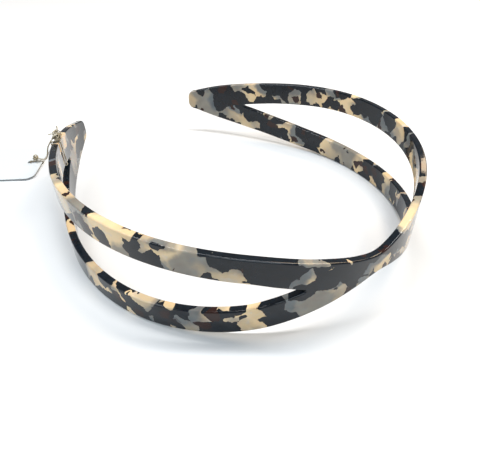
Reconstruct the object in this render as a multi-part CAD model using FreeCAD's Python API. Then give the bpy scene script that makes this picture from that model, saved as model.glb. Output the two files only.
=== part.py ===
import FreeCAD, Part
import math
import os
from FreeCAD import Placement, Rotation, Vector

# A heat-formed acetate headband. It is cut from flat sheet as one long leaf shape with a slot
# down each side, then bent round a former, so every solid is described on the flat sheet and
# bent afterwards. Flat sheet coordinates: s along the band from the middle of the crown
# (positive towards +X), v across it (positive up) and n through the sheet (positive outwards).
# Bent frame: the band lies on its lower edge, +Z up, crown towards +Y, tips towards -Y.

# ---- driving dimensions, mm ----
THICKNESS = 2.6
LEAN = math.radians(2.8)                 # the upper edge leans outwards from upright
ARCS = [(62.0, 80.0), (70.0, 40.0), (155.0, 65.5)]    # plan radius and arc length, crown to tip
HALF_LENGTH = sum(length for radius, length in ARCS)

# half width of the outline and of the side slot, as (distance from the crown, half width)
OUTLINE = [(-8, 5.2), (0, 3.7), (8, 5.2), (20, 8.6), (40, 13.4), (65, 15.9), (95, 16.6), (125, 15.0),
           (150, 11.6), (170, 7.9), (HALF_LENGTH, 3.6)]
SLOT = [(26, 0.5), (33, 2.7), (42, 5.1), (66, 7.6), (92, 8.1), (116, 6.8), (138, 3.9), (156, 0.5)]
TIP_CORNER = 3.3                         # radius of the rounded corners at each tip
SLOT_CORNER = 0.45                       # radius left by the cutter at each end of a slot

HINGE_AT = 13.0                          # distance from the crown to the bend line of an arm
JOINT_GAP = 0.8                          # clear gap at the bend line
CUTTER_REACH = 3.0                       # how far a slot cutter stands out of the sheet

# ---- tag string and tag ----
STRING = 0.5                             # string diameter
STRING_GAP = 0.1                         # air between the string and what it goes round
LOOP_AT = 147.0                          # where the string goes round the upper strip
LOOP_CORNER = 0.5                        # bend of the string's middle line round a square edge
KNOT_RING = 1.4                          # radius of each turn of a knot
KNOT_RISE = 2.0                          # knot centre above the edge that it is tied on
CARD = (52.0, 30.0, 0.4)                 # length, width and thickness of the tag
CARD_CORNER = 4.0
HOLE_RADIUS = 1.5
HOLE_IN = 5.0                            # hole centre from the card's end
CARD_TURN = -36.0                        # heading of the card's long side, degrees from +X
CARD_LIFT = 0.70                         # height of the card's underside at its hole
HOLE_AT = (49.5, -84.4)                  # hole centre, in plan

# route of the free string, from the knot at the tip to the knot on the card
STRING_ROUTE = [(50.5, -40.4, 29.9), (51.2, -46.0, 25.0), (49.4, -55.5, 17.2), (47.2, -66.2, 9.8),
                (45.9, -75.4, 4.8), (46.7, -81.9, 2.9)]


def smooth(knots, x):
    """Value at x of a smooth curve through the knots (cubic, slopes from the neighbours)."""
    last = len(knots) - 1
    slopes = []
    for i in range(last + 1):
        (x0, y0), (x1, y1) = knots[max(i - 1, 0)], knots[min(i + 1, last)]
        slopes.append((y1 - y0) / (x1 - x0))
    i = 0
    while i < last - 1 and x > knots[i + 1][0]:
        i += 1
    (x0, y0), (x1, y1) = knots[i], knots[i + 1]
    span = x1 - x0
    u = (x - x0) / span
    ends = y0 * (1 + 2 * u) * (1 - u) ** 2 + y1 * (3 - 2 * u) * u ** 2
    return ends + span * u * (1 - u) * (slopes[i] * (1 - u) - slopes[i + 1] * u)


def half_width(s):
    return smooth(OUTLINE, abs(s))


def slot_half_width(s):
    return smooth(SLOT, abs(s))


def plan(s):
    """Point, outward normal and heading of the band's middle line at distance s."""
    side = -1.0 if s < 0 else 1.0
    left = abs(s)
    x = y = heading = 0.0
    for radius, length in ARCS:
        step = min(left, length) / radius
        x += radius * (math.sin(heading + step) - math.sin(heading))
        y += radius * (math.cos(heading + step) - math.cos(heading))
        heading += step
        left -= min(left, length)
    normal = Vector(side * math.sin(heading), math.cos(heading), 0)
    return Vector(side * x, y, 0), normal, side * heading


def bend(s, v, n):
    """Place of the flat sheet's point (s, v, n) on the bent band, before the origin is moved."""
    point, normal, heading = plan(s)
    out = v * math.sin(LEAN) + n * math.cos(LEAN)
    return point + normal * out + Vector(0, 0, v * math.cos(LEAN) - n * math.sin(LEAN))


def smooth_edge(points):
    curve = Part.BSplineCurve()
    curve.interpolate(points)
    return curve.toShape()


def strip(low, high, n_in, n_out, s_start, s_end, step=5.0):
    """Solid between the outlines low(s) and high(s) of the flat sheet, bent to shape."""
    count = max(4, int(abs(s_end - s_start) / step))
    stations = [s_start + (s_end - s_start) * i / count for i in range(count + 1)]
    corners = [(low, n_in), (high, n_in), (high, n_out), (low, n_out)]
    rails = [[bend(s, edge(s), n) for s in stations] for edge, n in corners]
    edges = [smooth_edge(rail) for rail in rails]
    faces = [Part.makeRuledSurface(edges[i], edges[(i + 1) % 4]) for i in range(4)]
    for end in (0, -1):
        ring = [rail[end] for rail in rails]
        faces.append(Part.Face(Part.makePolygon(ring + ring[:1])))
    shell = Part.makeShell(faces)
    shell.sewShape()
    solid = Part.makeSolid(shell)
    if solid.Volume < 0:
        solid.reverse()
    return solid


def end_edges(solid, s):
    """The short edges through the sheet at the end of a strip, where its corners are rounded."""
    point, normal, heading = plan(s)
    along = Vector(normal.y, -normal.x, 0)
    picked = []
    for edge in solid.Edges:
        ends = [vertex.Point for vertex in edge.Vertexes]
        at_end = all(abs((end - point).dot(along)) < 0.01 for end in ends)
        if at_end and len(ends) == 2 and abs((ends[1] - ends[0]).normalize().dot(normal)) > 0.9:
            picked.append(edge)
    return picked


def slot_cutter():
    start, end = SLOT[0][0], SLOT[-1][0]
    reach = THICKNESS / 2 + CUTTER_REACH
    cutter = strip(lambda s: -slot_half_width(s), slot_half_width, -reach, reach, start, end)
    return cutter.makeFillet(SLOT_CORNER, end_edges(cutter, start) + end_edges(cutter, end))


def blank(s_start, s_end):
    return strip(lambda s: -half_width(s), half_width, -THICKNESS / 2, THICKNESS / 2, s_start, s_end)


def make_arm():
    """The arm on the +X side; the other one is its mirror image."""
    arm = blank(HINGE_AT + JOINT_GAP / 2, HALF_LENGTH)
    arm = arm.makeFillet(TIP_CORNER, end_edges(arm, HALF_LENGTH))
    return arm.cut(slot_cutter())


def make_crown():
    reach = HINGE_AT - JOINT_GAP / 2
    return blank(-reach, reach)


# The origin is moved to the middle of the band's box, on the surface that it stands on.
LOWEST = min(bend(s, -half_width(s), THICKNESS / 2).z for s in range(60, 130))
BACK = bend(0, half_width(0), THICKNESS / 2).y
FRONT = min(bend(HALF_LENGTH, v, -THICKNESS / 2 * n).y for v in (-TIP_CORNER, TIP_CORNER) for n in (-1, 1))
SHIFT = Vector(0, -(BACK + FRONT) / 2, -LOWEST)


def ring_path(length, height, radius):
    """Closed rounded rectangle in the XZ plane, centred on the origin."""
    box = Part.makeBox(length, 1, height, Vector(-length / 2, 0, -height / 2))
    uprights = [e for e in box.Edges if abs(e.tangentAt(e.FirstParameter).y) > 0.9]
    rounded = box.makeFillet(radius, uprights)
    return [f for f in rounded.Faces if f.CenterOfMass.y < 1e-6][0].OuterWire


def tube(path, diameter):
    """Round solid along a wire of tangent lines and arcs."""
    first = path.OrderedEdges[0]
    start = first.valueAt(first.FirstParameter)
    axis = first.tangentAt(first.FirstParameter)
    section = Part.Wire(Part.makeCircle(diameter / 2, start, axis))
    return path.makePipeShell([section], True, False)


def string_ring(inner_length, inner_height):
    """A closed turn of string round something of the given size, in the XZ plane."""
    grow = STRING + 2 * STRING_GAP
    return tube(ring_path(inner_length + grow, inner_height + grow, LOOP_CORNER), STRING)


def knot(centre, heading):
    """A small overhand knot: three crossed turns of string."""
    turns = []
    for turn in range(3):
        ring = Part.makeTorus(KNOT_RING, STRING / 2)
        ring.Placement = Placement(Vector(), Rotation(Vector(1, 0, 0), 35 + 60 * turn))
        ring.Placement = Placement(Vector(), Rotation(Vector(0, 0, 1), 120 * turn)).multiply(ring.Placement)
        turns.append(ring)
    core = Part.makeSphere(0.9 * KNOT_RING)
    solid = core.multiFuse(turns)
    solid.Placement = Placement(centre, Rotation(Vector(0, 0, 1), heading))
    return solid


def make_tip_loop():
    low, high = slot_half_width(LOOP_AT), half_width(LOOP_AT)
    ring = string_ring(high - low, THICKNESS)
    point, normal, heading = plan(LOOP_AT)
    across = Vector(0, 0, math.cos(LEAN)) + normal * math.sin(LEAN)
    through = normal * math.cos(LEAN) - Vector(0, 0, math.sin(LEAN))
    ring.Placement = Placement(bend(LOOP_AT, (low + high) / 2, 0) + SHIFT,
                               Rotation(across, through.cross(across), through, "XZY"))
    return ring


def cord_path(points):
    """Straight runs joined by tangent arcs; prints the radius of each arc."""
    edges = []
    start = points[0]
    for before, corner, after in zip(points, points[1:], points[2:]):
        back, ahead = (before - corner), (after - corner)
        run = 0.45 * min(back.Length, ahead.Length)
        half_turn = (math.pi - back.getAngle(ahead)) / 2
        radius = run / math.tan(half_turn)
        enter = corner + back.normalize() * run
        leave = corner + ahead.normalize() * run
        middle_way = ((enter + leave) / 2 - corner).normalize()
        middle = corner + middle_way * (radius / math.cos(half_turn) - radius)
        edges.append(Part.LineSegment(start, enter).toShape())
        edges.append(Part.Arc(enter, middle, leave).toShape())
        print("string arc radius", round(radius, 1), "turn", round(math.degrees(2 * half_turn)))
        start = leave
    edges.append(Part.LineSegment(start, points[-1]).toShape())
    return Part.Wire(edges)


def make_tag_cord():
    path = cord_path([Vector(*point) for point in STRING_ROUTE])
    cord = tube(path, STRING)
    print("string length", round(path.Length, 1),
          "volume ratio", round(cord.Volume / (math.pi * STRING ** 2 / 4 * path.Length), 4))
    return cord


def on_card(shape):
    """Moves a shape from the card's own frame (hole at the origin, underside at z 0, the card
    along +X) to where the card lies, hole end lifted onto its turn of string."""
    dip = math.degrees(math.asin(CARD_LIFT / (CARD[0] - HOLE_IN)))
    place = Placement(Vector(HOLE_AT[0], HOLE_AT[1], CARD_LIFT), Rotation(Vector(0, 0, 1), CARD_TURN))
    shape.Placement = place.multiply(Placement(Vector(), Rotation(Vector(0, 1, 0), dip))).multiply(shape.Placement)
    return shape


def make_swing_tag():
    length, width, thickness = CARD
    card = Part.makeBox(length, width, thickness, Vector(-HOLE_IN, -width / 2, 0))
    uprights = [e for e in card.Edges if abs(e.tangentAt(e.FirstParameter).z) > 0.9]
    card = card.makeFillet(CARD_CORNER, uprights)
    hole = Part.makeCylinder(HOLE_RADIUS, 3 * thickness, Vector(0, 0, -thickness))
    return on_card(card.cut(hole))


def make_card_loop():
    ring = string_ring(HOLE_IN, CARD[2])
    ring.Placement = Placement(Vector(-HOLE_IN / 2, 0, CARD[2] / 2), Rotation())
    return on_card(ring)


def save(name, shape):
    if not shape.isValid() or len(shape.Solids) != 1:
        print("CHECK", name, "valid", shape.isValid(), "solids", len(shape.Solids))
    shape.Solids[0].exportStep(os.path.join("parts", name + ".step"))
    print(name, round(shape.Volume, 1), "mm3", shape.BoundBox)


def make_tip_knot():
    return knot(bend(LOOP_AT, half_width(LOOP_AT) + KNOT_RISE, 0) + SHIFT, 20)


def make_card_knot():
    centre = Vector(HOLE_AT[0], HOLE_AT[1], CARD_LIFT + CARD[2] + KNOT_RISE)
    heading = math.radians(CARD_TURN)
    back = Vector(math.cos(heading), math.sin(heading), 0) * (HOLE_IN / 2)
    return knot(centre - back, 65)


def main():
    os.makedirs("parts", exist_ok=True)
    right_arm = make_arm()
    right_arm.translate(SHIFT)
    crown = make_crown()
    crown.translate(SHIFT)
    save("crown_bridge", crown)
    save("right_arm", right_arm)
    save("left_arm", right_arm.mirror(Vector(), Vector(1, 0, 0)))
    save("tip_loop", make_tip_loop())
    save("tip_knot", make_tip_knot())
    save("tag_cord", make_tag_cord())
    save("card_knot", make_card_knot())
    save("card_loop", make_card_loop())
    save("swing_tag", make_swing_tag())


main()
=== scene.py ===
import math

import bmesh
import bpy
import numpy as np
from mathutils import Matrix, Vector


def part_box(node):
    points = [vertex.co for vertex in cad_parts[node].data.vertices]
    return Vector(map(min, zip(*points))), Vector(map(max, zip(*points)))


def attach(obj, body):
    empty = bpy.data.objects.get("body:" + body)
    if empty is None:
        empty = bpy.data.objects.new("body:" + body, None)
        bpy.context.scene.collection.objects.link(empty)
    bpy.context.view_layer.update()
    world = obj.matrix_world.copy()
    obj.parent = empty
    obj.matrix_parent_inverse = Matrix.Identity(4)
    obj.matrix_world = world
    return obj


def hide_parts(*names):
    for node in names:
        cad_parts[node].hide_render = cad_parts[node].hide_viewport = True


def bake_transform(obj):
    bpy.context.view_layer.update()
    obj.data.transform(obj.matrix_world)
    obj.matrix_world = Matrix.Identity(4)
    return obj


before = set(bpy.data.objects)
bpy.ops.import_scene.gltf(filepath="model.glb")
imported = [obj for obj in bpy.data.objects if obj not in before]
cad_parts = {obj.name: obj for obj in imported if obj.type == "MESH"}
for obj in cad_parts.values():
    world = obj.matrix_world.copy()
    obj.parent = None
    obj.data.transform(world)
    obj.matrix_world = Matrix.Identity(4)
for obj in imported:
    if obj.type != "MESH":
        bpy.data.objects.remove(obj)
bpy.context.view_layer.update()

MM = 0.001

# ---------------------------------------------------------------- the band's flat pattern, mm
# s runs along the band from the middle of the crown, v across it and n through it, outwards.
THICKNESS = 2.6
LEAN = math.radians(2.8)         # of the band's faces from upright
ARCS = [(62.0, 80.0), (70.0, 40.0), (155.0, 65.5)]      # (radius, length), from crown to tip
HALF_LENGTH = sum(length for radius, length in ARCS)
SLOT_END = 0.5                   # radius of the slot's ends
# (s, v) along the band's upper edge and the slot's upper edge; the lower ones mirror them
OUTLINE = [(-8, 5.2), (0, 3.7), (8, 5.2), (20, 8.6), (40, 13.4), (65, 15.9), (95, 16.6),
           (125, 15.0), (150, 11.6), (170, 7.9), (HALF_LENGTH, 3.6)]
SLOT = [(26, SLOT_END), (33, 2.7), (42, 5.1), (66, 7.6), (92, 8.1), (116, 6.8), (138, 3.9),
        (156, SLOT_END)]
TIP_CORNER = 3.3
EDGE_ROUND = 0.55                # polished radius along every edge
FLEX_LENGTH = 60.0               # how far from the crown the band would bend when it opens; here only the point at that distance is worked out, and not used
ROWS = 6                         # quads across one strip
ROUND_STEPS = 3                  # quads round one edge
SLOT_STEPS = 84                  # quads along the slot
CROWN_POINTS = 16                # points between the crown's middle and the slot
TIP_POINTS = 12                  # points between the slot and the tip's corner
SLOT_MARGIN = 1.6                # from the slot's end to the nearest of those points


def smooth(knots, x):
    """Value at x of a smooth curve through the knots (cubic, slopes from the neighbours)."""
    last = len(knots) - 1
    slopes = []
    for i in range(last + 1):
        (x0, y0), (x1, y1) = knots[max(i - 1, 0)], knots[min(i + 1, last)]
        slopes.append((y1 - y0) / (x1 - x0))
    i = 0
    while i < last - 1 and x > knots[i + 1][0]:
        i += 1
    (x0, y0), (x1, y1) = knots[i], knots[i + 1]
    span = x1 - x0
    u = (x - x0) / span
    ends = y0 * (1 + 2 * u) * (1 - u) ** 2 + y1 * (3 - 2 * u) * u ** 2
    return ends + span * u * (1 - u) * (slopes[i] * (1 - u) - slopes[i + 1] * u)


def plan(s):
    """Point and heading of the band's middle line at distance s from the crown, s >= 0."""
    left, x, y, heading = s, 0.0, 0.0, 0.0
    for radius, length in ARCS:
        step = min(left, length) / radius
        x += radius * (math.sin(heading + step) - math.sin(heading))
        y += radius * (math.cos(heading + step) - math.cos(heading))
        heading += step
        left -= min(left, length)
    return x, y, heading


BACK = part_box("crown_bridge")[1].y
MIDDLE_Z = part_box("right_arm")[1].z / 2
CROWN_Y = BACK - (smooth(OUTLINE, 0) * math.sin(LEAN) + THICKNESS / 2 * math.cos(LEAN)) * MM


def frame_at(s):
    """Origin and unit directions (along, across, outwards) of the flat pattern at s."""
    x, y, heading = plan(s)
    along = Vector((math.cos(heading), -math.sin(heading), 0))
    normal = Vector((math.sin(heading), math.cos(heading), 0))
    up = Vector((0, 0, 1))
    across = up * math.cos(LEAN) + normal * math.sin(LEAN)
    outwards = normal * math.cos(LEAN) - up * math.sin(LEAN)
    origin = Vector((x * MM, CROWN_Y + y * MM, MIDDLE_Z))
    return origin, along, across, outwards


def bend(s, v, n):
    """Where a point of the flat pattern lies on the band's +X side, m."""
    origin, along, across, outwards = frame_at(s)
    return origin + (across * v + outwards * n) * MM


# ---------------------------------------------------------------- camera
def make_camera():
    """Close, slightly wide view from above and behind the crown's +X side."""
    azimuth, elevation, roll = math.radians(138.33), math.radians(33.58), math.radians(1.34)
    distance, focal_px, width_px, sensor = 169.25, 490.9, 480.0, 36.0
    target = Vector((5.83 * MM, CROWN_Y - 43.41 * MM, MIDDLE_Z))
    level_share = math.cos(elevation)
    back = Vector((math.sin(azimuth) * level_share, -math.cos(azimuth) * level_share,
                   math.sin(elevation)))
    data = bpy.data.cameras.new("camera")
    data.sensor_width = sensor
    data.lens = sensor * focal_px / width_px
    data.shift_x, data.shift_y = -0.0522, -0.0505
    data.clip_start, data.clip_end = 0.01, 10
    camera = bpy.data.objects.new("camera", data)
    bpy.context.scene.collection.objects.link(camera)
    camera.rotation_mode = "QUATERNION"
    level = (-back).to_track_quat("-Z", "Y")
    camera.rotation_quaternion = level @ Matrix.Rotation(roll, 3, "Z").to_quaternion()
    camera.location = target + back * distance * MM
    bpy.context.scene.camera = camera


make_camera()


# ---------------------------------------------------------------- string, mm
STRING = 0.5                     # diameter
STRING_ROUTE = [(50.5, -40.4, 29.9), (51.2, -46.0, 25.0), (49.4, -55.5, 17.2),
                (47.2, -66.2, 9.8), (45.9, -75.4, 4.8), (46.7, -81.9, 2.9)]
PLIES = 3
PLY_SHARE = 0.52                 # a ply's radius as a share of the string's
PLY_PITCH = 1.5                  # length of one twist
PLY_STEP = 0.18                  # length of one quad
PLY_SIDES = 6
LOOP_AT = 147.0                  # s of the loop round the upper strip
LOOP_SLANT = 0.5                 # how far the loop strays along the band
LOOP_GAP = 0.1                   # between the string and what it goes round
LOOP_CORNER = 0.5
KNOT_POINTS = 72                 # round one turn of a knot
KNOT_SPIN = 1.15                 # radians from one turn of a knot to the next
KNOT_SHRINK = 0.13               # how much smaller each turn is, as a share of the first
TAIL_POINTS = 9
TIP_KNOT = {"size": 1.9, "heading": 0.35, "turns": 4}
TIP_KNOT_SHIFT = (-0.7, 0.6, 0.5)        # from the middle of its CAD solid
TIP_TAILS = [((-1.2, -1.4, 3.0), 0.0), ((-0.2, -0.9, 2.4), 0.3), ((2.2, -1.9, 0.9), 0.6),
             ((2.7, -0.2, -1.7), 0.5), ((-1.6, 0.5, 1.3), 0.3)]      # (direction, droop)
CARD_KNOT = {"size": 1.35, "heading": 1.1, "turns": 2}
CARD_TAILS = [((-2.0, 0.9, -0.8), 0.3), ((-1.2, -1.8, 0.2), 0.8)]
CARD = (52.0, 30.0, 0.4)
CARD_CORNER = 4.0
CARD_SOFT = 0.12                 # worn edge
CARD_CORNER_STEPS = 7
HOLE_RADIUS = 1.5
HOLE_IN = 5.0                    # from the card's end to the hole's middle
HOLE_AT = (49.5, -84.4)
CARD_TURN = math.radians(-36.0)
CARD_LIFT = 0.70                 # of the card's underside at the hole; its far end is on the floor


def link_mesh(name, vertices, faces, smooth_faces=True):
    """A mesh object from vertices in mm."""
    mesh = bpy.data.meshes.new(name)
    mesh.from_pydata([tuple(c * MM for c in v) for v in vertices], [], faces)
    mesh.validate()
    mesh.polygons.foreach_set("use_smooth", [smooth_faces] * len(mesh.polygons))
    piece = bpy.data.objects.new(name, mesh)
    bpy.context.scene.collection.objects.link(piece)
    return piece


def respace(points, step, closed):
    """The same line with even steps."""
    line = np.array([tuple(p) for p in points], float)
    if closed:
        line = np.vstack([line, line[:1]])
    run = np.concatenate([[0], np.cumsum(np.linalg.norm(np.diff(line, axis=0), axis=1))])
    count = max(6, int(round(run[-1] / step)))
    at = np.linspace(0, run[-1], count + 1)
    even = np.column_stack([np.interp(at, run, line[:, k]) for k in range(3)])
    return even[:-1] if closed else even


def thread(points, closed):
    """Vertices and faces of a twisted thread that follows the points. Its open ends are capped."""
    line = respace(points, PLY_STEP, closed)
    count = len(line)
    ply = STRING / 2 * PLY_SHARE
    out = STRING / 2 - ply
    if closed:
        tangents = np.roll(line, -1, axis=0) - np.roll(line, 1, axis=0)
    else:
        tangents = np.gradient(line, axis=0)
    tangents /= np.linalg.norm(tangents, axis=1, keepdims=True)
    side = np.cross(tangents[0], (0.31, 0.2, 0.93))
    side /= np.linalg.norm(side)
    sides_at = []
    for tangent in tangents:
        side = side - tangent * np.dot(side, tangent)
        side /= np.linalg.norm(side)
        sides_at.append(side)
    twists = count * PLY_STEP / PLY_PITCH
    turns = 2 * math.pi * (max(1, round(twists)) if closed else twists)
    vertices, faces = [], []
    for k in range(PLIES):
        start = len(vertices)
        for i in range(count):
            other = np.cross(tangents[i], sides_at[i])
            angle = turns * i / count + 2 * math.pi * k / PLIES
            centre = line[i] + out * (math.cos(angle) * sides_at[i] + math.sin(angle) * other)
            for j in range(PLY_SIDES):
                a = 2 * math.pi * j / PLY_SIDES + angle
                vertices.append(centre + ply * (math.cos(a) * sides_at[i] + math.sin(a) * other))
        last = count if closed else count - 1
        for i in range(last):
            a, b = start + i * PLY_SIDES, start + (i + 1) % count * PLY_SIDES
            for j in range(PLY_SIDES):
                n = (j + 1) % PLY_SIDES
                faces.append((a + j, a + n, b + n, b + j))
        if not closed:
            end = start + (count - 1) * PLY_SIDES
            faces.append(tuple(start + j for j in reversed(range(PLY_SIDES))))
            faces.append(tuple(end + j for j in range(PLY_SIDES)))
    return vertices, faces


def join_threads(name, lines):
    """One piece from several threads, each (points, closed)."""
    vertices, faces = [], []
    for points, closed in lines:
        more, more_faces = thread(points, closed)
        faces += [tuple(len(vertices) + k for k in face) for face in more_faces]
        vertices += more
    return link_mesh(name, vertices, faces)


def route_line():
    """Points read from the string's own NURBS spline, mm."""
    data = bpy.data.curves.new("string_route", "CURVE")
    data.dimensions = "3D"
    data.resolution_u = 16
    spline = data.splines.new("NURBS")
    spline.points.add(len(STRING_ROUTE) - 1)
    for point, (x, y, z) in zip(spline.points, STRING_ROUTE):
        point.co = (x * MM, y * MM, z * MM, 1)
    spline.order_u = 3
    spline.use_endpoint_u = True
    guide = bpy.data.objects.new("string_route", data)
    bpy.context.scene.collection.objects.link(guide)
    mesh = bpy.data.meshes.new_from_object(guide)
    points = [tuple(v.co / MM) for v in mesh.vertices]
    bpy.data.objects.remove(guide)
    bpy.data.meshes.remove(mesh)
    return points


def knot_lines(centre, size, heading, turns, tails):
    """A hand-tied knot: three-lobed turns of string pulled nearly tight, and its cut tails."""
    lines = []
    for k in range(turns):
        spin, reach = heading + KNOT_SPIN * k, size * (1 - KNOT_SHRINK * k)
        turn = []
        for i in range(KNOT_POINTS):
            t = 2 * math.pi * i / KNOT_POINTS
            r = reach * (0.60 + 0.40 * math.cos(3 * t + 0.4 * k))
            x, y, z = r * math.cos(2 * t), r * math.sin(2 * t), 0.55 * reach * math.sin(3 * t)
            c, s = math.cos(spin), math.sin(spin)
            turn.append((centre[0] + c * x - s * z, centre[1] + s * x + c * z, centre[2] + y))
        lines.append((turn, True))
    for way, droop in tails:
        way = Vector(way)
        curl = Vector((way.y, -way.x, 0.4 * way.length)) * 0.14
        tail = []
        for i in range(TAIL_POINTS):
            u = i / (TAIL_POINTS - 1)
            bow = curl * math.sin(math.pi * u)
            fall = Vector((0, 0, -droop * u * u))
            tail.append(Vector(centre) + way * (0.1 + 0.9 * u) + bow + fall)
        lines.append((tail, False))
    return lines


def middle(node):
    """Middle of a CAD node's box, mm."""
    low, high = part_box(node)
    return tuple((low + high) / 2 / MM)


def hoop(half_length, half_height, corner):
    """Points (u, w) of a closed rounded rectangle."""
    points = []
    for quarter in range(4):
        turn = math.pi / 2 * quarter
        sx, sy = ((1, 1), (-1, 1), (-1, -1), (1, -1))[quarter]
        for i in range(5):
            a = turn + math.pi / 2 * i / 4
            points.append((sx * (half_length - corner) + corner * math.cos(a),
                           sy * (half_height - corner) + corner * math.sin(a)))
    return points


def on_card(x, y, z):
    """From the card's own frame (hole at the origin, underside at z 0) to where it lies, mm."""
    dip = math.asin(CARD_LIFT / (CARD[0] - HOLE_IN))
    x, z = x * math.cos(dip) + z * math.sin(dip), z * math.cos(dip) - x * math.sin(dip)
    c, s = math.cos(CARD_TURN), math.sin(CARD_TURN)
    return HOLE_AT[0] + c * x - s * y, HOLE_AT[1] + s * x + c * y, CARD_LIFT + z


def make_string():
    """The free string, with its loops, knots and the swing tag."""
    low, high = smooth(SLOT, LOOP_AT), smooth(OUTLINE, LOOP_AT)
    stand_off = STRING / 2 + LOOP_GAP
    ring = hoop((high - low) / 2 + stand_off, THICKNESS / 2 + stand_off, LOOP_CORNER)
    round_strip = [tuple(bend(LOOP_AT + LOOP_SLANT * math.sin(u), (low + high) / 2 + u, w) / MM)
                   for u, w in ring]
    tip_loop = join_threads("string_tip_loop", [(round_strip, True)])
    knot_at = Vector(middle("tip_knot")) + Vector(TIP_KNOT_SHIFT)
    to_cord = Vector(STRING_ROUTE[0]) - knot_at
    tails = TIP_TAILS + [(to_cord, 0.0)]
    tip_knot = join_threads("string_tip_knot", knot_lines(knot_at, tails=tails, **TIP_KNOT))
    line = route_line()
    cord = join_threads("string_tag_cord", [(line, False)])
    card_turns = knot_lines(middle("card_knot"), tails=CARD_TAILS, **CARD_KNOT)
    card_knot = join_threads("string_card_knot", card_turns)
    ring = hoop(HOLE_IN / 2 + stand_off, CARD[2] / 2 + stand_off, LOOP_CORNER)
    through_card = [on_card(u - HOLE_IN / 2, 0.0, w + CARD[2] / 2) for u, w in ring]
    card_loop = join_threads("string_card_loop", [(through_card, True)])
    pieces = [tip_loop, tip_knot, cord, card_knot, card_loop]
    nodes = ("tip_loop", "tip_knot", "tag_cord", "card_knot", "card_loop")
    for piece, node in zip(pieces, nodes):
        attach(piece, "right_side")
        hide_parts(node)
    card = make_card()
    return pieces, card


def card_outline(inset):
    """Rounded rectangle in the card's frame, pulled in by the inset."""
    length, width = CARD[0], CARD[1]
    r = CARD_CORNER - inset
    points = []
    corners = ((length - HOLE_IN, width / 2), (-HOLE_IN, width / 2), (-HOLE_IN, -width / 2),
               (length - HOLE_IN, -width / 2))
    for quarter, (x, y) in enumerate(corners):
        cx = x - math.copysign(CARD_CORNER, x)
        cy = y - math.copysign(CARD_CORNER, y)
        for i in range(CARD_CORNER_STEPS + 1):
            a = math.pi / 2 * (quarter + i / CARD_CORNER_STEPS)
            points.append((cx + r * math.cos(a), cy + r * math.sin(a)))
    return points


def make_card():
    """The swing tag: card with rounded corners, soft edges and a punched hole."""
    count = 4 * (CARD_CORNER_STEPS + 1)
    soft, thick = CARD_SOFT, CARD[2]
    levels = [(soft, thick), (soft * 0.3, thick - soft * 0.3), (0.0, thick - soft), (0.0, soft),
              (soft * 0.3, soft * 0.3), (soft, 0.0)]
    top = card_outline(soft)
    angles = [2 * math.pi * i / count for i in range(count)]
    hole = [(HOLE_RADIUS * math.cos(a), HOLE_RADIUS * math.sin(a)) for a in angles]

    def match(k):
        """How well the hole's points face the outline's when they start at the k-th."""
        return sum(np.dot(h, o) for h, o in zip(hole[k:] + hole[:k], top))

    first = max(range(count), key=match)
    hole = hole[first:] + hole[:first]
    vertices, rings = [], []

    def ring(points, z):
        rings.append(len(vertices))
        vertices.extend(on_card(x, y, z) for x, y in points)

    def ring_between(share, z):
        """A ring that share of the way from the hole to the outline."""
        ring([(hx + (ox - hx) * share, hy + (oy - hy) * share)
              for (hx, hy), (ox, oy) in zip(hole, top)], z)

    shares = (0.0, 0.25, 0.5, 0.75)
    for share in shares:
        ring_between(share, thick)
    for inset, z in levels:
        ring(card_outline(inset), z)
    for share in reversed(shares):
        ring_between(share, 0.0)
    faces = []
    for a, b in zip(rings, rings[1:] + rings[:1]):
        for j in range(count):
            n = (j + 1) % count
            faces.append((a + j, b + j, b + n, a + n))
    piece = link_mesh("swing_tag_card", vertices, faces, False)
    place = piece.data.attributes.new("on_card", "FLOAT_VECTOR", "POINT")
    c, s = math.cos(-CARD_TURN), math.sin(-CARD_TURN)
    from_hole = [(x - HOLE_AT[0], y - HOLE_AT[1]) for x, y, z in vertices]
    flat = [(c * x - s * y, s * x + c * y, 0) for x, y in from_hole]
    place.data.foreach_set("vector", np.array(flat, np.float32).ravel())
    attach(piece, "right_side")
    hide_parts("swing_tag")
    return piece


string_pieces, swing_tag = make_string()


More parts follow.
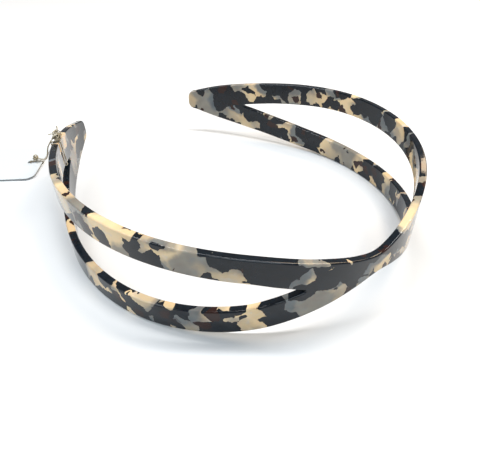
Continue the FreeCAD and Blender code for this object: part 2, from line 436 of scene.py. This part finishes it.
# ---------------------------------------------------------------- material helpers
class Nodes:
    """A small builder for one material's node tree."""

    def __init__(self, name):
        self.material = bpy.data.materials.new(name)
        self.material.use_nodes = True
        self.tree = self.material.node_tree
        self.shader = self.tree.nodes["Principled BSDF"]

    def put(self, socket, value):
        if isinstance(value, bpy.types.NodeSocket):
            self.tree.links.new(value, socket)
        elif value is not None:
            socket.default_value = value

    def node(self, kind, inputs=None, **settings):
        made = self.tree.nodes.new(kind)
        for key, value in settings.items():
            setattr(made, key, value)
        for key, value in (inputs or {}).items():
            self.put(made.inputs[key], value)
        return made

    def attribute(self, name):
        return self.node("ShaderNodeAttribute", attribute_name=name).outputs["Vector"]

    def math(self, operation, a, b):
        return self.node("ShaderNodeMath", {0: a, 1: b}, operation=operation).outputs[0]

    def vector(self, operation, a, b):
        return self.node("ShaderNodeVectorMath", {0: a, 1: b}, operation=operation).outputs[0]

    def noise(self, vector, scale, detail=2.0, output="Fac", roughness=0.5):
        inputs = {"Vector": vector, "Scale": scale, "Detail": detail, "Roughness": roughness}
        return self.node("ShaderNodeTexNoise", inputs).outputs[output]

    def cells(self, vector, scale, feature="F1", **more):
        """A random value for each cell. Smooth cells run into their neighbours."""
        inputs = {"Vector": vector, "Scale": scale, **more}
        colour = self.node("ShaderNodeTexVoronoi", inputs, feature=feature).outputs["Color"]
        return self.node("ShaderNodeSeparateColor", {"Color": colour}).outputs["Red"]

    def ramp(self, value, low, high):
        """0 below low and 1 above high, smooth in between."""
        inputs = {"Value": value, "From Min": low, "From Max": high}
        made = self.node("ShaderNodeMapRange", inputs, interpolation_type="SMOOTHSTEP")
        return made.outputs["Result"]

    def spread(self, value, low, high):
        """The value's 0 to 1 as low to high."""
        inputs = {"Value": value, "To Min": low, "To Max": high}
        return self.node("ShaderNodeMapRange", inputs).outputs["Result"]

    def mix(self, factor, a, b):
        """Colour a where the factor is 0, b where it is 1. The colour sockets are 6 and 7."""
        made = self.node("ShaderNodeMix", data_type="RGBA")
        for socket, value in (("Factor", factor), (6, a), (7, b)):
            self.put(made.inputs[socket], value)
        return made.outputs[2]

    def bump(self, height, strength, distance):
        inputs = {"Height": height, "Strength": strength, "Distance": distance}
        made = self.node("ShaderNodeBump", inputs)
        self.put(self.shader.inputs["Normal"], made.outputs["Normal"])

    def finish(self, **values):
        for key, value in values.items():
            self.put(self.shader.inputs[key.replace("_", " ")], value)
        return self.material


PATTERN_SHIFT = (2100.0, -45.0, 0.0)     # which part of the endless block the band is from, mm
CHIP_EDGE = 0.005                        # how gently a sharp chip begins


def acetate_material():
    """Block acetate: a cream base with blurred grey chips deeper in the sheet, angular black ones
    and a few small red-brown ones. The pattern is solid, in flat pattern millimetres, so it runs
    through the thickness and over the edges."""
    m = Nodes("acetate")
    flat = m.vector("ADD", m.attribute("flat"), PATTERN_SHIFT)
    squeezed = m.vector("MULTIPLY", flat, (1.0, 1.0, 0.5))
    wobble = m.vector("SUBTRACT", m.noise(squeezed, 0.15, 3.0, "Color"), (0.5, 0.5, 0.5))
    place = m.vector("ADD", squeezed, m.vector("MULTIPLY", wobble, (6.0, 5.0, 2.0)))
    ripple = m.vector("SUBTRACT", m.noise(squeezed, 0.7, 1.0, "Color"), (0.5, 0.5, 0.5))
    place = m.vector("ADD", place, m.vector("MULTIPLY", ripple, (1.1, 1.1, 0.5)))

    def blurred_chips(offset, scale, low, high, strength):
        moved = m.vector("ADD", place, offset)
        cells = m.cells(moved, scale, feature="SMOOTH_F1", Smoothness=0.9)
        return m.math("MULTIPLY", m.ramp(cells, low, high), strength)

    def sharp_chips(offset, scale, share_clear):
        cells = m.cells(m.vector("ADD", place, offset), scale)
        return m.ramp(cells, share_clear, share_clear + CHIP_EDGE)

    amber = m.ramp(m.noise(squeezed, 0.09, 2.0), 0.35, 0.7)
    cream = m.mix(amber, (0.62, 0.47, 0.275, 1), (0.52, 0.38, 0.215, 1))
    cream = m.mix(m.ramp(m.noise(place, 0.3, 3.0), 0.5, 0.8), cream, (0.50, 0.43, 0.34, 1))
    smoke = m.noise(squeezed, 0.2, 2.0)
    grey = m.mix(smoke, (0.024, 0.038, 0.055, 1), (0.155, 0.175, 0.18, 1))
    colour = m.mix(blurred_chips((40.0, 9.0, 2.0), 0.11, 0.33, 0.76, 0.8), cream, grey)
    colour = m.mix(blurred_chips((3.2, 2.0, 0.6), 0.125, 0.38, 0.66, 0.9), colour, grey)
    large = sharp_chips((0.0, 0.0, 0.0), 0.125, 0.57)
    medium = sharp_chips((17.0, 3.0, 8.0), 0.20, 0.72)
    ink = m.mix(m.noise(squeezed, 0.5, 2.0), (0.002, 0.003, 0.004, 1), (0.009, 0.013, 0.019, 1))
    colour = m.mix(m.math("MAXIMUM", large, medium), colour, ink)
    small = sharp_chips((5.0, 50.0, 0.0), 0.34, 0.92)
    colour = m.mix(small, colour, (0.022, 0.009, 0.007, 1))
    roughness = m.spread(m.noise(flat, 0.35, 3.0), 0.03, 0.10)
    m.bump(m.noise(flat, 0.22, 2.0), 0.10, 0.0004)
    return m.finish(Base_Color=colour, Roughness=roughness, IOR=1.48, Specular_IOR_Level=0.34,
                    Subsurface_Weight=0.1, Subsurface_Scale=0.001)


def string_material():
    """Dull yarn with glints of metal in it, worn and a little fuzzy."""
    m = Nodes("string")
    place = m.node("ShaderNodeTexCoord").outputs["Object"]
    fibre = m.noise(place, 2600.0, 3.0, roughness=0.7)
    patch = m.noise(place, 420.0, 2.0)
    colour = m.mix(m.ramp(fibre, 0.3, 0.7), (0.17, 0.13, 0.08, 1), (0.50, 0.43, 0.29, 1))
    colour = m.mix(m.ramp(patch, 0.5, 0.75), colour, (0.60, 0.56, 0.46, 1))
    shine = m.math("MULTIPLY", m.ramp(fibre, 0.45, 0.6), 0.6)
    m.bump(fibre, 0.5, 0.0001)
    return m.finish(Base_Color=colour, Roughness=m.spread(patch, 0.3, 0.55), Metallic=shine)


def card_material():
    """Smooth white card with a faint grain, coloured a cool grey darker than the floor as painted
    shade.
    """
    m = Nodes("card")
    grain = m.noise(m.attribute("on_card"), 9.0, 4.0, roughness=0.7)
    # painted shade: the card's own white is painted a cool grey, darker and bluer than the floor,
    # over its faint grain
    card_and_painted_shade = m.mix(grain, (0.47, 0.50, 0.52, 1), (0.51, 0.54, 0.55, 1))
    m.bump(grain, 0.15, 0.0001)
    return m.finish(Base_Color=card_and_painted_shade, Roughness=m.spread(grain, 0.42, 0.6))


# ---------------------------------------------------------------- the band
def slot_edge():
    """Points (s, v) of the slot's upper edge from its crown end to its tip end, both ends round."""
    start, end = SLOT[0][0], SLOT[-1][0]
    turns = [math.radians(degrees) for degrees in (0, 22, 45, 68)]
    points = [(start - SLOT_END * math.cos(a), SLOT_END * math.sin(a)) for a in turns]
    for i in range(SLOT_STEPS + 1):
        s = start + (end - start) * i / SLOT_STEPS
        points.append((s, smooth(SLOT, s)))
    points += [(end + SLOT_END * math.cos(a), SLOT_END * math.sin(a)) for a in reversed(turns)]
    return points


def paired_lines():
    """Upper outline and inner line (middle line, slot edge, middle line) as arrays of (s, v) with
    one partner for each point, and the range of partners that lie on the slot."""
    slot = slot_edge()
    first, last = slot[0][0], slot[-1][0]
    straight_end = HALF_LENGTH - TIP_CORNER
    before = np.linspace(0, first - SLOT_MARGIN, CROWN_POINTS)
    after = np.linspace(last + SLOT_MARGIN, HALF_LENGTH - 4.2, TIP_POINTS)
    inner = [(s, 0.0) for s in before] + slot + [(s, 0.0) for s in after]
    beside_slot = np.linspace(first - 0.6, last + 0.6, len(slot))
    beside_tip = np.linspace(last + SLOT_MARGIN, straight_end, TIP_POINTS)
    outline = [(s, smooth(OUTLINE, s)) for s in [*before, *beside_slot, *beside_tip]]
    tip_v = smooth(OUTLINE, straight_end) - TIP_CORNER
    outline += [(straight_end + TIP_CORNER * math.sin(a), tip_v + TIP_CORNER * math.cos(a))
                for a in np.radians(np.linspace(9, 90, 10))]
    outline += [(HALF_LENGTH, tip_v / 2), (HALF_LENGTH, 0.0)]
    extra = len(outline) - len(inner)
    inner += [(s, 0.0) for s in np.linspace(inner[-1][0] + 0.05, HALF_LENGTH - 3.4, extra)]
    return np.array(outline), np.array(inner), (CROWN_POINTS, CROWN_POINTS + len(slot) - 1)


def outward_normals(line):
    """Unit normals on the left of the direction of travel."""
    tangent = np.gradient(line, axis=0)
    tangent /= np.linalg.norm(tangent, axis=1, keepdims=True)
    return np.column_stack([-tangent[:, 1], tangent[:, 0]])


def edge_profile():
    """(inset, n, turn of the normal from the sheet's) round an edge, outer face to inner face."""
    half = THICKNESS / 2
    turns = [math.radians(90 * i / ROUND_STEPS) for i in range(ROUND_STEPS + 1)]
    upper = [(EDGE_ROUND * (1 - math.sin(t)), half - EDGE_ROUND * (1 - math.cos(t)), t)
             for t in turns]
    lower = [(inset, -n, math.pi - t) for inset, n, t in reversed(upper)]
    return upper + [(0.0, 0.0, math.pi / 2)] + lower


def section(outer, outer_normal, inner, inner_normal, on_slot):
    """One cross-section of the upper strip: (s, v, n) points and flat normals, from the inner line
    over the outer face, round the outline and back over the inner face."""
    half = THICKNESS / 2
    profile = edge_profile()
    outer_start = outer - outer_normal * EDGE_ROUND
    inner_start = inner - inner_normal * EDGE_ROUND if on_slot else inner
    points, normals = [], []
    for j in range(ROWS):
        at = inner_start + (outer_start - inner_start) * j / ROWS
        points.append((*at, half))
        normals.append((0, 0, 1))
    for inset, n, turn in profile:
        points.append((*(outer - outer_normal * inset), n))
        normals.append((*(outer_normal * math.sin(turn)), math.cos(turn)))
    for j in range(ROWS - 1, -1, -1):
        at = inner_start + (outer_start - inner_start) * j / ROWS
        points.append((*at, -half))
        normals.append((0, 0, -1))
    if on_slot:
        for inset, n, turn in reversed(profile[1:-1]):
            points.append((*(inner - inner_normal * inset), n))
            normals.append((*(inner_normal * math.sin(turn)), math.cos(turn)))
    return points, normals


def flat_half():
    """The flat plate of one half band: vertices, normals and faces, upper and lower strips."""
    outer, inner, (slot_from, slot_to) = paired_lines()
    outer_normals = outward_normals(outer)
    outer_normals[0] = (0, 1)
    outer_normals[-2:] = (1, 0)
    inner_normals = -outward_normals(inner)
    inner_normals[slot_from] = (1, 0)
    inner_normals[slot_to] = (-1, 0)
    vertices, normals, faces, starts, sizes = [], [], [], [], []
    for i in range(len(outer)):
        on_slot = slot_from <= i <= slot_to
        points, turned = section(outer[i], outer_normals[i], inner[i], inner_normals[i], on_slot)
        starts.append(len(vertices))
        sizes.append(len(points))
        vertices += points
        normals += turned
    open_size = sizes[0]
    for i in range(len(outer) - 1):
        a, b = starts[i], starts[i + 1]
        closed = slot_from <= i < slot_to
        for k in range(open_size - 1):
            faces.append((a + k, b + k, b + k + 1, a + k + 1))
        if closed:
            ring = list(range(open_size - 1, sizes[i])) + [0]
            for k, next_k in zip(ring, ring[1:]):
                faces.append((a + k, b + k, b + next_k, a + next_k))
    count = len(vertices)
    lower = [(s, -v, n) for s, v, n in vertices]
    lower_normals = [(s, -v, n) for s, v, n in normals]
    lower_faces = [tuple(count + k for k in reversed(face)) for face in faces]
    cap = list(range(open_size)) + [count + k for k in range(open_size - 1, -1, -1)]
    return vertices + lower, normals + lower_normals, faces + lower_faces + [tuple(reversed(cap))]


def make_band_half(name, side, material):
    """One side of the band from the crown's middle to its tip: the flat half bent on the plan."""
    vertices, normals, faces = flat_half()
    bent, turned = [], []
    for (s, v, n), (a, b, c) in zip(vertices, normals):
        origin, along, across, outwards = frame_at(s)
        p = origin + (across * v + outwards * n) * MM
        d = along * a + across * b + outwards * c
        bent.append((side * p.x, p.y, p.z))
        turned.append(Vector((side * d.x, d.y, d.z)).normalized())
    if side > 0:                 # (along, across, outwards) is left-handed
        faces = [tuple(reversed(face)) for face in faces]
    mesh = bpy.data.meshes.new(name)
    mesh.from_pydata(bent, [], faces)
    pattern = [(side * s, v, n) for s, v, n in vertices]
    for attribute, vectors in (("flat", pattern), ("way", [tuple(d) for d in turned])):
        made = mesh.attributes.new(attribute, "FLOAT_VECTOR", "POINT")
        made.data.foreach_set("vector", np.array(vectors, np.float32).ravel())
    work = bmesh.new()
    work.from_mesh(mesh)
    bmesh.ops.remove_doubles(work, verts=work.verts, dist=0.00001)
    work.to_mesh(mesh)
    work.free()
    mesh.validate()
    mesh.polygons.foreach_set("use_smooth", [True] * len(mesh.polygons))
    cap = max(mesh.polygons, key=lambda polygon: len(polygon.vertices))      # the flat tip
    cap.use_smooth = False
    held = np.zeros(len(mesh.vertices) * 3, np.float32)
    mesh.attributes["way"].data.foreach_get("vector", held)
    held = held.reshape(-1, 3)
    corners = held[[loop.vertex_index for loop in mesh.loops]]
    for k in cap.loop_indices:
        corners[k] = tuple(cap.normal)
    mesh.normals_split_custom_set(corners)
    mesh.attributes.remove(mesh.attributes["way"])
    mesh.materials.append(material)
    piece = bpy.data.objects.new(name, mesh)
    bpy.context.scene.collection.objects.link(piece)
    start, end = bend(0, 0, 0), bend(FLEX_LENGTH, 0, 0)
    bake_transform(piece)
    return piece


acetate = acetate_material()
right_half = make_band_half("band_right_half", 1, acetate)
left_half = make_band_half("band_left_half", -1, acetate)
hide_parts("right_arm", "crown_bridge")
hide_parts("left_arm", "crown_bridge")


thread_material = string_material()
for piece in string_pieces:
    piece.data.materials.append(thread_material)
swing_tag.data.materials.append(card_material())


# ---------------------------------------------------------------- room
FLOOR_HALF = 3                   # m


def make_floor():
    mesh = bpy.data.meshes.new("floor")
    corners = [(x * FLOOR_HALF, y * FLOOR_HALF, 0) for x, y in ((-1, -1), (1, -1), (1, 1), (-1, 1))]
    mesh.from_pydata(corners, [], [(0, 1, 2, 3)])
    floor = bpy.data.objects.new("floor", mesh)
    bpy.context.scene.collection.objects.link(floor)
    m = Nodes("floor")
    tint = m.mix(m.noise(None, 3.0), (0.57, 0.58, 0.59, 1), (0.60, 0.60, 0.60, 1))
    mesh.materials.append(m.finish(Base_Color=tint, Roughness=0.75))


def area_light(name, place, size, energy, colour):
    """A rectangular lamp that points at the middle of the floor."""
    data = bpy.data.lights.new(name, "AREA")
    data.shape = "RECTANGLE"
    data.size, data.size_y = size
    data.energy = energy
    data.color = colour
    light = bpy.data.objects.new(name, data)
    light.location = place
    light.rotation_mode = "QUATERNION"
    light.rotation_quaternion = (-Vector(place)).to_track_quat("-Z", "Y")
    bpy.context.scene.collection.objects.link(light)
    return light


def strip_light(name, place, size, energy, heading):
    """A narrow lamp that points straight down, its long side along the heading."""
    lamp = area_light(name, place, size, energy, (1.0, 1.0, 1.0))
    lamp.rotation_mode = "XYZ"
    lamp.rotation_euler = (0.0, 0.0, math.radians(heading))


def make_light():
    area_light("lamp_warm", (-0.75, -0.05, 0.62), (0.35, 0.35), 5.6, (1.0, 0.78, 0.54))
    area_light("lamp_window", (0.30, 0.78, 0.72), (0.9, 0.2), 6.5, (0.82, 0.93, 1.0))
    area_light("lamp_left", (0.85, -0.25, 0.55), (0.4, 0.6), 3.2, (0.84, 0.93, 1.0))
    strip_light("lamp_strip", (-0.05, -0.05, 1.0), (1.6, 0.08), 16.0, 138.0)
    world = bpy.data.worlds.new("world")
    world.use_nodes = True
    background = world.node_tree.nodes["Background"]
    background.inputs["Color"].default_value = (0.95, 0.97, 1.0, 1)
    background.inputs["Strength"].default_value = 0.28
    bpy.context.scene.world = world


make_floor()
make_light()
bpy.context.scene.view_settings.view_transform = "Standard"
